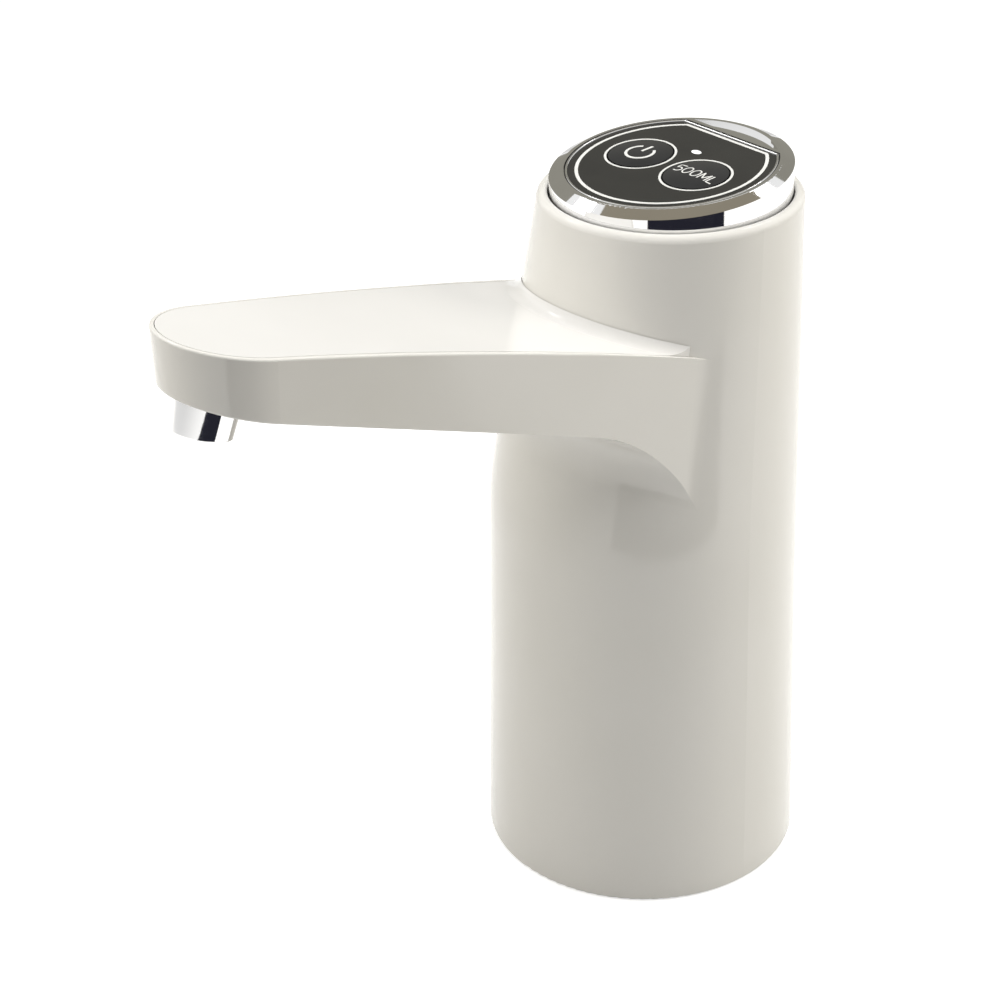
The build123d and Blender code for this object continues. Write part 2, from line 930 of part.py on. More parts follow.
def chassis_screws():
    screws = []
    for angle in screw_angles(column_screw_angle):
        length = chassis_floor + column_screw_bite
        screw = pan_screw(
            column_screw_radius, length, column_screw_head, column_screw_head_height
        )
        spot = ring_place(column_boss_place, angle) * Pos(0, 0, chassis_top)
        screws.append(spot * Rot(X=half_turn) * screw)
    return as_one(screws)


def inlet_fitting():
    # Hose barb in the well, a flange under its roof and a port for the inlet tube
    high = chassis_top + inlet_nut_height + inlet_port_height
    low = inlet_low
    body = cylinder(inlet_barb_radius - inlet_ridge, low, well_top)
    for step in range(inlet_ridges):
        start = low + step * inlet_ridge_pitch
        ridge = Cone(
            inlet_barb_radius - inlet_ridge,
            inlet_barb_radius,
            inlet_ridge_pitch * ridge_share,
            align=(Align.CENTER, Align.CENTER, Align.MIN),
        )
        body += Pos(0, 0, start) * ridge
    body += cylinder(inlet_flange_radius, well_top - inlet_flange_height, well_top)
    body += cylinder(inlet_stem_radius, well_top, chassis_top + inlet_nut_height)
    body += cylinder(inlet_port_radius - inlet_ridge, chassis_top, high)
    body += cylinder(inlet_port_radius, high - inlet_ridge_pitch, high - inlet_ridge)
    return body - cylinder(inlet_bore, low - cut_over, high + cut_over)


def inlet_nut():
    hexagon = RegularPolygon(inlet_nut_flats / 2, nut_sides, major_radius=False)
    hexagon = Rot(Z=quarter_turn) * hexagon
    nut = Pos(0, 0, chassis_top) * extrude(hexagon, inlet_nut_height)
    return nut - cylinder(inlet_stem_radius, 0, head_height)


def chassis():
    floor = column_block(chassis_base, chassis_top, shell_wall + chassis_gap)
    floor -= cylinder(inlet_stem_radius + inlet_hole_gap, 0, head_height)
    wall_y = chassis_wall_place + chassis_wall / 2
    height = chassis_wall_top - chassis_base
    wall = Pos(0, wall_y, chassis_base) * block(
        chassis_wall_width, chassis_wall, height
    )
    body = floor + wall
    cup_top = chassis_top + cell_cup_height
    outer = cell_radius + cell_gap + cell_cup_wall
    body += cylinder(outer, chassis_base, cup_top, cell_place_x, cell_place_y)
    body = body & column_block(chassis_base, chassis_wall_top, shell_wall + chassis_gap)
    bore = cell_radius + cell_gap
    body -= cylinder(bore, chassis_top, cup_top + cut_over, cell_place_x, cell_place_y)
    for side in (-1, 1):
        body += chassis_rib(side)
    for angle in screw_angles(column_screw_angle):
        clear = column_screw_radius + head_screw_clear
        body -= ring_place(column_boss_place, angle) * cylinder(clear, 0, chassis_top + cut_over)
    holes = [strap_hole(side) for side in (-1, 1)]
    for place in (-charge_screw_place, charge_screw_place):
        spot = (0, chassis_wall_place + chassis_wall, port_height + place)
        post = rear_rod(charge_standoff_radius, -join_over, charge_standoff)
        body += Pos(*spot) * post
        holes.append(Pos(*spot) * rear_rod(charge_screw_radius, -charge_screw_bite, big))
    return body - holes


def chassis_rib(side):
    # A triangular rib behind the wall, standing on the floor
    low = chassis_top - join_over
    back = chassis_wall_place + chassis_wall - join_over
    reach = chassis_gusset * rib_share
    face = make_face(
        Polyline(
            (back, low), (back + reach, low), (back, low + chassis_gusset), close=True
        )
    )
    rib = extrude(Plane.YZ * face, chassis_gusset_thickness / 2, both=True)
    return Pos(side * chassis_wall_width / 4, 0, 0) * rib


def rear_rod(radius, start, stop):
    # A rod along +Y
    return Rot(X=-quarter_turn) * cylinder(radius, start, stop)


def strap_hole(side):
    # Clear holes in the wall for the screws that pull the motor strap back
    place = (
        pump_place_x + side * strap_screw_place(),
        chassis_wall_place,
        strap_level(),
    )
    clear = strap_screw_radius + head_screw_clear
    return Pos(*place) * rear_rod(clear, -cut_over, chassis_wall + cut_over)


def strap_outer():
    return motor_radius + strap_gap + strap_wall


def strap_screw_place():
    return strap_outer() - strap_ear / 2


def strap_level():
    return frame_top + strap_lift


def at_pump(shape):
    return Pos(pump_place_x, pump_place_y, 0) * shape


def battery_cell():
    low = chassis_top
    high = low + cell_length
    can = cylinder(cell_radius, low, high)
    can = fillet(can.edges().filter_by(GeomType.CIRCLE), cell_base_lift)
    tip = cylinder(cell_tip_radius, high - join_over, high + cell_tip_height)
    return Pos(cell_place_x, cell_place_y, 0) * (can + tip)


def cell_clip():
    # A sprung ring round the cell with a web to the chassis wall
    inner = cell_radius + cell_gap / 4
    outer = inner + clip_wall
    low, high = clip_place, clip_place + clip_height
    ring = cylinder(outer, low, high)
    reach = chassis_wall_place - cell_place_y
    web = Pos(0, reach / 2, low) * block(clip_mouth, reach, clip_height)
    ring = ring + web - cylinder(inner, low - cut_over, high + cut_over)
    mouth = Pos(0, -outer, low - cut_over) * block(
        clip_mouth, outer, clip_height + cut_over * 2
    )
    return Pos(cell_place_x, cell_place_y, 0) * (ring - mouth)


def pump_plate(low, height):
    plan = RectangleRounded(pump_side, pump_side, pump_corner)
    plate = Pos(0, 0, low) * extrude(plan, height)
    for x in (-pump_screw_place, pump_screw_place):
        for y in (-pump_screw_place, pump_screw_place):
            plate -= cylinder(pump_screw_radius, low - cut_over, low + height + cut_over, x, y)
    return plate


def pump_cover():
    # Lower block with the inlet port below and the outlet port in front
    low, high = pump_floor, valve_floor
    body = pump_plate(low, cover_block_height)
    chamber = high - cover_chamber_depth
    body -= cylinder(cover_chamber_radius, chamber, high + cut_over)
    x, y = -pump_place_x, -pump_place_y
    body += cylinder(port_radius, low - port_reach, low + join_over, x, y)
    body -= cylinder(port_bore, low - port_reach - cut_over, high - join_over, x, y)
    lane = Pos(x / 2, y / 2, chamber - port_bore) * Box(abs(x), abs(y), port_bore)
    body -= lane & cylinder(cover_chamber_radius, low, high)
    face = pump_side / 2
    front = Rot(X=quarter_turn) * cylinder(
        port_radius, face - join_over, face + port_reach
    )
    hole = Rot(X=quarter_turn) * cylinder(port_bore, cover_chamber_radius / 2, pump_side)
    level = Pos(0, 0, low + outlet_port_rise)
    body = body + level * front - level * hole
    return at_pump(body)


def valve_plate():
    low = valve_floor
    plate = pump_plate(low, valve_plate_height)
    for index in range(knob_count):
        angle = index * full_turn / knob_count
        seat = ring_place(knob_place, angle)
        top = low + valve_plate_height
        plate -= seat * cylinder(valve_seat_radius, top - valve_seat_depth, top + cut_over)
        plate -= seat * cylinder(valve_seat_radius / 4, low - cut_over, top)
    return at_pump(plate)


def diaphragm():
    low = valve_floor + valve_plate_height
    plate = pump_plate(low, diaphragm_height)
    high = low + diaphragm_height
    for index in range(knob_count):
        knob = cylinder(knob_radius, high - join_over, high + wobble_lift)
        plate += ring_place(knob_place, index * full_turn / knob_count) * knob
    return at_pump(plate)


def pump_frame():
    low = frame_top - frame_height
    body = pump_plate(low, frame_height)
    body -= cylinder(frame_bore, low - cut_over, frame_top - frame_roof)
    body -= cylinder(motor_boss_radius + cover_seam, low, frame_top + cut_over)
    for side in (-1, 1):
        window = Box(pump_side, frame_bore, frame_height / 4)
        spot = Pos(side * pump_side / 2, 0, low + frame_height / 2)
        body -= spot * window
    return at_pump(body)


def wobble_plate():
    low = frame_top - frame_height + wobble_lift
    disc = cylinder(wobble_radius, low, low + wobble_thickness)
    return at_pump(disc - cylinder(wobble_hole, 0, head_height))


def pump_screws():
    screws = []
    length = frame_top - frame_roof / 2 - pump_floor
    for x in (-pump_screw_place, pump_screw_place):
        for y in (-pump_screw_place, pump_screw_place):
            screw = pan_screw(
                pump_screw_radius, length, pump_screw_head, pump_screw_head_height
            )
            screws.append(at_pump(Pos(x, y, pump_floor) * screw))
    return as_one(screws)


def motor_can():
    low, high = frame_top, frame_top + motor_length
    can = cylinder(motor_radius, low, high)
    can -= cylinder(motor_radius - motor_wall, low + motor_wall, high + cut_over)
    can += cylinder(motor_boss_radius, low - motor_boss_height, low + motor_wall)
    can -= cylinder(bush_radius, low - motor_boss_height - cut_over, low + motor_wall + cut_over)
    return at_pump(can)


def motor_endcap():
    high = frame_top + motor_length
    cap = cylinder(motor_radius - motor_wall, high - endcap_thickness, high)
    cap -= cylinder(bush_radius, high - endcap_thickness - cut_over, high + cut_over)
    for side in (-1, 1):
        slot = Pos(side * terminal_place, 0, high - endcap_thickness - cut_over)
        cap -= slot * block(terminal_width, terminal_thickness, endcap_thickness + cut_over * 2)
    return at_pump(cap)


def motor_terminals():
    high = frame_top + motor_length
    low = high - endcap_thickness
    tags = []
    for side in (-1, 1):
        tag = block(terminal_width, terminal_thickness, endcap_thickness + terminal_height)
        tags.append(at_pump(Pos(side * terminal_place, 0, low) * tag))
    return as_one(tags)


def motor_brushes():
    high = frame_top + motor_length - endcap_thickness
    place = commutator_radius + brush_gap + brush_thickness / 2
    blades = []
    for side in (-1, 1):
        blade = block(brush_thickness, brush_width, brush_length)
        blades.append(at_pump(Pos(side * place, 0, high - brush_length) * blade))
    return as_one(blades)


def motor_magnets():
    low = frame_top + magnet_margin
    high = frame_top + motor_length - magnet_margin
    ring = cylinder(motor_radius - motor_wall, low, high)
    ring -= cylinder(magnet_inner, low - cut_over, high + cut_over)
    gap = Pos(0, 0, low - cut_over) * block(magnet_slot, big, high - low + cut_over * 2)
    return as_one([at_pump(ring - gap)])


def motor_bushes():
    low = frame_top - motor_boss_height
    high = frame_top + motor_length
    bushes = []
    for start in (low, high - bush_length):
        bush = cylinder(bush_radius, start, start + bush_length)
        bore = shaft_radius + shaft_gap
        bush -= cylinder(bore, start - cut_over, start + bush_length + cut_over)
        bushes.append(at_pump(bush))
    return as_one(bushes)


def motor_rotor():
    low = frame_top - motor_boss_height - hub_gap - hub_length
    high = frame_top + motor_length + shaft_tail
    body = cylinder(shaft_radius, low, high)
    start = frame_top + armature_margin
    stop = frame_top + motor_length - armature_margin - commutator_length
    core = cylinder(armature_radius, start, stop)
    for index in range(armature_slots):
        place = Pos(armature_radius - armature_slot_depth / 2, 0, start - cut_over)
        slot = block(armature_slot_depth * 2, armature_slot_width, stop - start + cut_over * 2)
        core -= Rot(Z=index * full_turn / armature_slots) * place * slot
    ring = cylinder(commutator_radius, stop, stop + commutator_length)
    return at_pump(body + core + ring)


def crank_hub():
    # The eccentric on the shaft's end, its pin inside the wobble plate's hole
    high = frame_top - motor_boss_height - hub_gap
    low = high - hub_length
    hub = cylinder(hub_radius, low, high)
    hub -= cylinder(shaft_radius, low - cut_over, high + cut_over)
    pin = cylinder(crank_radius, low - crank_length, low + join_over, crank_offset, 0)
    return at_pump(hub + pin)


def motor_strap():
    # A band round the can, its two ears turned in behind it and screwed back
    inner, outer = motor_radius + strap_gap, strap_outer()
    low = strap_level() - strap_height / 2
    top = low + strap_height
    back = chassis_wall_place - pump_place_y
    ring = cylinder(outer, low, top)
    ring = ring & Pos(0, -outer / 2, low) * block(outer * 2, outer, strap_height)
    legs = Pos(0, back / 2, low) * block(outer * 2, back, strap_height)
    room = Pos(0, back / 2, low - cut_over) * block(
        inner * 2, back + cut_over * 2, strap_height + cut_over * 2
    )
    band = ring + legs - cylinder(inner, low - cut_over, top + cut_over) - room
    for side in (-1, 1):
        spot = Pos(side * strap_screw_place(), back - strap_wall, strap_level())
        ear = Pos(0, strap_wall / 2, 0) * Box(strap_ear, strap_wall, strap_height)
        bore = rear_rod(strap_screw_radius, -cut_over, strap_wall + cut_over)
        band += spot * (ear - bore)
    return at_pump(band)


def strap_screws():
    screws = []
    for side in (-1, 1):
        length = strap_wall + chassis_wall
        screw = pan_screw(
            strap_screw_radius, length, strap_screw_head, strap_screw_head_height
        )
        spot = Pos(
            pump_place_x + side * strap_screw_place(),
            chassis_wall_place + chassis_wall,
            strap_level(),
        )
        screws.append(spot * Rot(X=quarter_turn) * screw)
    return as_one(screws)


def pump_pad():
    low = frame_top - frame_height
    start = pump_place_y + pump_side / 2
    depth = chassis_wall_place - start
    pad = block(pump_side - pump_corner * 2, depth, frame_height)
    return Pos(pump_place_x, start + depth / 2, low) * pad


def charge_board():
    start = chassis_wall_place + chassis_wall + charge_standoff
    board = Box(charge_board_width, charge_board_thickness, charge_board_height)
    board = Pos(0, start + charge_board_thickness / 2, port_height) * board
    for place in (-charge_screw_place, charge_screw_place):
        spot = Pos(0, start, port_height + place)
        board -= spot * rear_rod(charge_screw_radius, -cut_over, charge_board_thickness + cut_over)
    return board


def charge_screws():
    screws = []
    start = chassis_wall_place + chassis_wall + charge_standoff + charge_board_thickness
    for place in (-charge_screw_place, charge_screw_place):
        length = charge_board_thickness + charge_screw_bite + charge_standoff - join_over
        screw = pan_screw(charge_screw_radius, length, charge_screw_head, charge_screw_head_height)
        screws.append(Pos(0, start, port_height + place) * Rot(X=quarter_turn) * screw)
    return as_one(screws)


def usb_socket():
    start = chassis_wall_place + chassis_wall + charge_standoff + charge_board_thickness
    stop = waist_radius - usb_setback
    shell = RectangleRounded(usb_width, usb_height, usb_corner)
    mouth = RectangleRounded(
        usb_width - usb_wall * 2, usb_height - usb_wall * 2, usb_corner - usb_wall
    )
    length = stop - start
    tube = rear_prism(shell, start, length)
    tube -= rear_prism(mouth, start + usb_wall * 2, length)
    tongue = rear_prism(
        Rectangle(usb_tongue_width, usb_tongue_height), start, length - usb_tongue_setback
    )
    return Pos(0, 0, port_height) * (tube + tongue)


def rear_prism(sketch, start, length):
    return Pos(0, start, 0) * Rot(X=-quarter_turn) * extrude(sketch, length)


def tube_line():
    # Local height of the tube's centre above the arm's underside
    return shell_wall + tube_floor_gap + tube_radius


def tube_point(y):
    lift = tube_line() / cos(radians(arm_under_angle))
    return (0, y, arm_under(y) + lift)


def outlet_path():
    start_y = pump_place_y - pump_side / 2 - port_reach + tube_overlap
    level = pump_floor + outlet_port_rise
    first = (pump_place_x, start_y, level)
    turn = (pump_place_x, -tube_rise_y, level)
    bend = tube_point(-tube_rise_y)
    length = elbow_port_reach - tube_overlap
    end = tube_point(-nozzle_reach + elbow_lead() + length * cos(radians(arm_under_angle)))
    return FilletPolyline(
        first, turn, bend, end, radius=[tube_low_bend, tube_high_bend]
    )


def elbow_lead():
    # How far the elbow's axis leans back from the nozzle's foot at tube height
    return tube_line() * sin(radians(arm_under_angle))


def outlet_tube():
    path = outlet_path()
    start = Plane(origin=path @ 0, z_dir=path % 0)
    outer = sweep(start * Circle(tube_radius), path=path)
    inner = sweep(start * Circle(tube_bore), path=path)
    tube = outer - inner
    low = at_pump(Pos(0, 0, pump_floor + outlet_port_rise) * Rot(X=quarter_turn)
        * cylinder(port_radius, 0, pump_side / 2 + port_reach))
    return tube - low - elbow_port(elbow_port_radius)


def elbow_port(radius):
    rod = Pos(0, 0, tube_line()) * rear_rod(radius, 0, elbow_port_reach)
    return nozzle_frame() * rod


def spout_elbow():
    low = shell_wall
    body = cylinder(elbow_radius, low, low + elbow_height)
    bore = cylinder(nozzle_stem_radius, 0, nozzle_stem_length)
    water = cylinder(elbow_bore, 0, tube_line())
    port = Pos(0, 0, tube_line()) * rear_rod(elbow_port_radius, 0, elbow_port_reach)
    lane = Pos(0, 0, tube_line()) * rear_rod(elbow_bore, 0, elbow_port_reach + cut_over)
    return nozzle_frame() * (body + port - bore - water - lane)


def inlet_tube():
    low = chassis_top + inlet_nut_height + inlet_shoulder
    high = pump_floor - pump_screw_head_height - inlet_shoulder
    tube = cylinder(tube_radius + tube_extra, low, high)
    return tube - inlet_bodies()


def inlet_bodies():
    high = chassis_top + inlet_nut_height + inlet_port_height
    top = pump_floor - port_reach
    lower = cylinder(inlet_port_radius, 0, high)
    upper = cylinder(port_radius, top, pump_floor)
    return lower + upper + cylinder(inlet_bore, 0, pump_floor)


def tube_clamps():
    wall = tube_radius + clamp_wall
    rings = []
    path = outlet_path()
    length = path.length
    for share in (clamp_inset / length, 1 - (clamp_inset + clamp_width) / length):
        plane = Plane(origin=path @ share, z_dir=path % share)
        ring = extrude(plane * (Circle(wall) - Circle(tube_radius)), clamp_width)
        rings.append(ring)
    return as_one(rings)


def nozzle():
    outer = spin(
        [
            (0, 0),
            (nozzle_top_radius, 0),
            (nozzle_mouth_radius, -nozzle_length),
            (0, -nozzle_length),
        ]
    )
    mouth = [e for e in outer.edges() if e.bounding_box().max.Z < -nozzle_length / 2]
    outer = fillet([e for e in mouth if e.geom_type == GeomType.CIRCLE], nozzle_round)
    outer += cylinder(nozzle_stem_radius, -join_over, nozzle_stem_length)
    outer -= cylinder(nozzle_bore, -nozzle_length - cut_over, nozzle_bore_depth - nozzle_length)
    outer -= cylinder(nozzle_water_bore, -nozzle_length, nozzle_stem_length + cut_over)
    seat = cylinder(seal_radius, -seal_thickness, cut_over)
    seat -= cylinder(nozzle_stem_radius, -cut_over, cut_over * 2)
    return nozzle_frame() * (outer - seat)


def nozzle_seal():
    ring = cylinder(seal_radius, -seal_thickness, 0)
    return nozzle_frame() * (ring - cylinder(nozzle_stem_radius, -cut_over, cut_over))


def nozzle_insert():
    low = -nozzle_length + insert_setback
    disc = cylinder(nozzle_bore, low, low + insert_thickness)
    disc -= cylinder(insert_hole_radius, low - cut_over, low + insert_thickness + cut_over)
    for index in range(insert_holes):
        spot = ring_place(insert_hole_place, index * full_turn / insert_holes)
        disc -= spot * cylinder(
            insert_hole_radius, low - cut_over, low + insert_thickness + cut_over
        )
    return nozzle_frame() * disc


def all_pieces():
    return {
        "body_shell": body_shell(),
        "arm_cover": arm_cover(),
        "bezel": bezel(),
        "control_panel": control_panel(),
        "power_key": control_key(-1),
        "dose_key": control_key(1),
        "power_plunger": switch_plunger(-1),
        "dose_plunger": switch_plunger(1),
        "power_switch": switch_body(-1),
        "dose_switch": switch_body(1),
        "light_pipe": light_pipe(),
        "indicator_led": indicator_led(),
        "control_board": control_board(),
        "board_screws": board_screws(),
        "bezel_screws": bezel_screws(),
        "base_socket": base_socket(),
        "neck_grip": neck_grip(),
        "socket_screws": socket_screws(),
        "chassis": chassis(),
        "chassis_screws": chassis_screws(),
        "inlet_fitting": inlet_fitting(),
        "inlet_nut": inlet_nut(),
        "inlet_tube": inlet_tube(),
        "battery_cell": battery_cell(),
        "cell_clip": cell_clip(),
        "pump_cover": pump_cover(),
        "valve_plate": valve_plate(),
        "diaphragm": diaphragm(),
        "pump_frame": pump_frame(),
        "wobble_plate": wobble_plate(),
        "pump_screws": pump_screws(),
        "pump_pad": pump_pad(),
        "motor_can": motor_can(),
        "motor_endcap": motor_endcap(),
        "motor_terminals": motor_terminals(),
        "motor_brushes": motor_brushes(),
        "motor_magnets": motor_magnets(),
        "motor_bushes": motor_bushes(),
        "motor_rotor": motor_rotor(),
        "crank_hub": crank_hub(),
        "motor_strap": motor_strap(),
        "strap_screws": strap_screws(),
        "charge_board": charge_board(),
        "charge_screws": charge_screws(),
        "usb_socket": usb_socket(),
        "outlet_tube": outlet_tube(),
        "tube_clamps": tube_clamps(),
        "spout_elbow": spout_elbow(),
        "nozzle": nozzle(),
        "nozzle_seal": nozzle_seal(),
        "nozzle_insert": nozzle_insert(),
    }


os.makedirs("parts", exist_ok=True)
for node_name, node_piece in all_pieces().items():
    export_step(node_piece, os.path.join("parts", node_name + ".step"))
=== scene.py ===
import json
import math

import bmesh
import bpy
from mathutils import Matrix, Vector


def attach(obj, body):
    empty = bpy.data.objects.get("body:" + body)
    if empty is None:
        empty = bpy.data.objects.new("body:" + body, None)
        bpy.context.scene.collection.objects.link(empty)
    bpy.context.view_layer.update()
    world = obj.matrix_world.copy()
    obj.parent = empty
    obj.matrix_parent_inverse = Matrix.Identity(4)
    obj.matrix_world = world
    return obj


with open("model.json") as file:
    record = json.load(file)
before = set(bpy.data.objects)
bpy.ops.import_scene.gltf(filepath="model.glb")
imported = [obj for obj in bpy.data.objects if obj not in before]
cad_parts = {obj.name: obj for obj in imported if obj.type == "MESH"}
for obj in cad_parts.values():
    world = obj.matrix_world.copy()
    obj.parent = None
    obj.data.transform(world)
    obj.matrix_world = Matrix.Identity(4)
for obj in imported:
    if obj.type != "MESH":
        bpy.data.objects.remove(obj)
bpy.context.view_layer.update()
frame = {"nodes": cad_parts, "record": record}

MM = 0.001
TAU = 2 * math.pi

# What every surface shares: the detail of its noise, its relief in metres, its tone range
BROAD_DETAIL, FINE_DETAIL = 2.0, 4.0
SMUDGE_SCALE, SMUDGE_DETAIL, SMUDGE_ROUGHNESS = 2.3, 5.0, 0.6
WAVE_RELIEF, GRAIN_RELIEF = 0.0005, 0.00005
BLEND_START, BLEND_STOP = 0.3, 0.7
COAT_ROUGHNESS = 0.04

# The panel and the printing on it, in mm on the ring's tilted plane
RING_CENTRE, RING_TILT = (0, 6.8, 157.5), 5.4
RING = Matrix.Translation(Vector(RING_CENTRE) * MM)
RING = RING @ Matrix.Rotation(math.radians(RING_TILT), 4, "X")
PANEL_TOP = -0.25
PANEL_RADIUS, PANEL_CHORD, PANEL_CORNER = 21.75, 16.65, 0.8
BEAD_WIDTH, BEAD_RISE, BEAD_STEPS = 0.5, 0.24, 6
BORDER_RADIUS, BORDER_CHORD, BORDER_CORNER, BORDER_WIDTH = 19.75, 15.65, 1.2, 0.7
KEY_SPREAD, KEY_OFFSET = 8.4, -0.95
KEY_RING_OUTER, KEY_RING_INNER = 7.55, 7.06
KEY_CROWN, KEY_CURVE, KEY_FILM = 0.20, 64.3, 0.004
BORDER_INK, KEY_RING_INK, SYMBOL_INK = 0.03, 0.04, 0.03
CIRCLE_STEPS, ARC_STEPS, CORNER_STEPS = 96, 160, 12

# The power symbol: an open circle in mm and degrees, and a bar in its gap
POWER_RADIUS, POWER_DROP, POWER_LINE = 2.95, 0.1, 0.62
POWER_START, POWER_SWEEP, POWER_STEPS = 125, 290, 48
BAR_START, BAR_LENGTH, BAR_STEPS = 0.4, 3.1, 8

# The dose symbol: the size of its characters and strokes in mm
TALL, WIDE, GAP, DOSE_LINE = 2.7, 1.8, 0.6, 0.3
EM_WIDE, ELL_WIDE = 1.15 * WIDE, 0.8 * WIDE
FIVE_LEAN, FIVE_STEM, FIVE_TURN = 0.06, 0.58, 0.56
BOWL_TOP, BOWL_START, BOWL_MIDDLE = 0.62, 0.35, 0.48
BOWL_FROM, BOWL_SWEEP, BOWL_STEPS = 5, 215, 16
ZERO_STEPS = 28
EM_LEAN, EM_DIP = 0.02, 0.2

# The camera: its place in mm, its angles in degrees, its focal length in pixels
EYE = Vector((328.38, -291.98, 319.91)) * MM
CAMERA_TURN, CAMERA_RISE, CAMERA_ROLL = 52.41367, 28.44138, -1.387421
FOCAL_PIXELS, IMAGE_PIXELS = 2294.534, 1000
SENSOR_WIDTH, CLIP_START = 36, 0.01

# The light: powers in watts, places and sizes in metres
LAMP_AIM = (0, -0.01, 0.09)
TOP_POWER, LEFT_POWER, RIGHT_POWER, SPOT_POWER = 8.4, 2.6, 3.5, 0.25
TOP_SIZE, SIDE_SIZE, SPOT_SIZE = 0.9, 0.6, 0.12
PLAIN_LIGHT = (1, 1, 1)
SIDE_WARMTH = (1.0, 0.96, 0.86)
AMBIENT_COLOUR, AMBIENT = (1.0, 0.97, 0.90), 0.11
FLOOR_GREY, FLOOR_GLOW = 0.70, 0.6
FLOOR_HALF, FLOOR_CELLS, FLOOR_DROP = 3.0, 8, 0.0002


# Building blocks of the materials
def noise(nodes, links, coords, scale, detail, rough=0.5):
    node = nodes.new("ShaderNodeTexNoise")
    node.inputs["Scale"].default_value = scale
    node.inputs["Detail"].default_value = detail
    node.inputs["Roughness"].default_value = rough
    links.new(coords, node.inputs["Vector"])
    return node.outputs["Fac"]


def remap(nodes, links, value, low, high):
    node = nodes.new("ShaderNodeMapRange")
    node.inputs["From Min"].default_value = BLEND_START
    node.inputs["From Max"].default_value = BLEND_STOP
    node.inputs["To Min"].default_value = low
    node.inputs["To Max"].default_value = high
    links.new(value, node.inputs["Value"])
    return node.outputs["Result"]


def bump(nodes, links, height, strength, distance, onto=None):
    node = nodes.new("ShaderNodeBump")
    node.inputs["Strength"].default_value = strength
    node.inputs["Distance"].default_value = distance
    links.new(height, node.inputs["Height"])
    if onto is not None:
        links.new(onto, node.inputs["Normal"])
    return node.outputs["Normal"]


def two_tone(nodes, links, value, dark, light):
    ramp = nodes.new("ShaderNodeValToRGB")
    first, last = ramp.color_ramp.elements
    first.position = BLEND_START
    last.position = BLEND_STOP
    first.color = (*dark, 1)
    last.color = (*light, 1)
    links.new(value, ramp.inputs["Fac"])
    return ramp.outputs["Color"]


def surface(
    name,
    dark,
    light,
    rough,
    grain,
    wave,
    metal=0.0,
    grain_bump=0.05,
    wave_bump=0.0,
    specular=0.5,
    coat=0.0,
    stretch=(1, 1, 1),
    glow=0.0,
    see=0.0,
):
    # Broad noise for the tone, fine noise for the grain, smudges for the gloss
    material = bpy.data.materials.new(name)
    material.use_nodes = True
    nodes, links = material.node_tree.nodes, material.node_tree.links
    shader = nodes["Principled BSDF"]
    coords = nodes.new("ShaderNodeTexCoord").outputs["Object"]
    mapping = nodes.new("ShaderNodeMapping")
    mapping.inputs["Scale"].default_value = stretch
    links.new(coords, mapping.inputs["Vector"])
    place = mapping.outputs["Vector"]
    broad = noise(nodes, links, place, wave, BROAD_DETAIL)
    fine = noise(nodes, links, place, grain, FINE_DETAIL)
    smudge = noise(nodes, links, place, wave * SMUDGE_SCALE, SMUDGE_DETAIL, SMUDGE_ROUGHNESS)
    links.new(two_tone(nodes, links, broad, dark, light), shader.inputs["Base Color"])
    links.new(remap(nodes, links, smudge, *rough), shader.inputs["Roughness"])
    normal = None
    if wave_bump:
        normal = bump(nodes, links, broad, wave_bump, WAVE_RELIEF)
    normal = bump(nodes, links, fine, grain_bump, GRAIN_RELIEF, normal)
    links.new(normal, shader.inputs["Normal"])
    shader.inputs["Metallic"].default_value = metal
    shader.inputs["Specular IOR Level"].default_value = specular
    if coat:
        shader.inputs["Coat Weight"].default_value = coat
        shader.inputs["Coat Roughness"].default_value = COAT_ROUGHNESS
    if glow:
        shader.inputs["Emission Color"].default_value = (*light, 1)
        shader.inputs["Emission Strength"].default_value = glow
    if see:
        shader.inputs["Transmission Weight"].default_value = see
    return material


# The materials: the outside first
shell_white = surface(
    "shell_white", dark=(0.80, 0.785, 0.74), light=(0.83, 0.815, 0.78), rough=(0.10, 0.17),
    grain=2600, wave=22, grain_bump=0.02, wave_bump=0.02,
)
cover_white = surface(
    "cover_white", dark=(0.81, 0.80, 0.78), light=(0.84, 0.83, 0.81), rough=(0.08, 0.14),
    grain=2600, wave=26, grain_bump=0.02, wave_bump=0.015,
)
trim_chrome = surface(
    "trim_chrome", dark=(0.80, 0.80, 0.80), light=(0.88, 0.88, 0.88), rough=(0.02, 0.07),
    metal=1.0, grain=1800, wave=60, grain_bump=0.01, wave_bump=0.03,
)
panel_black = surface(
    "panel_black", dark=(0.016, 0.016, 0.016), light=(0.022, 0.022, 0.021), rough=(0.09, 0.16),
    grain=3200, wave=90, grain_bump=0.015, wave_bump=0.01, specular=0.52,
)
key_black = surface(
    "key_black", dark=(0.012, 0.013, 0.016), light=(0.018, 0.019, 0.023), rough=(0.04, 0.09),
    grain=3000, wave=120, grain_bump=0.01, specular=0.35, coat=0.3,
)
ink_white = surface(
    "ink_white", dark=(0.74, 0.74, 0.72), light=(0.80, 0.80, 0.78), rough=(0.35, 0.5),
    grain=4000, wave=300, grain_bump=0.08,
)
lamp_white = surface(
    "lamp_white", dark=(0.85, 0.86, 0.88), light=(0.93, 0.94, 0.95), rough=(0.2, 0.3),
    grain=3000, wave=300, glow=0.35,
)

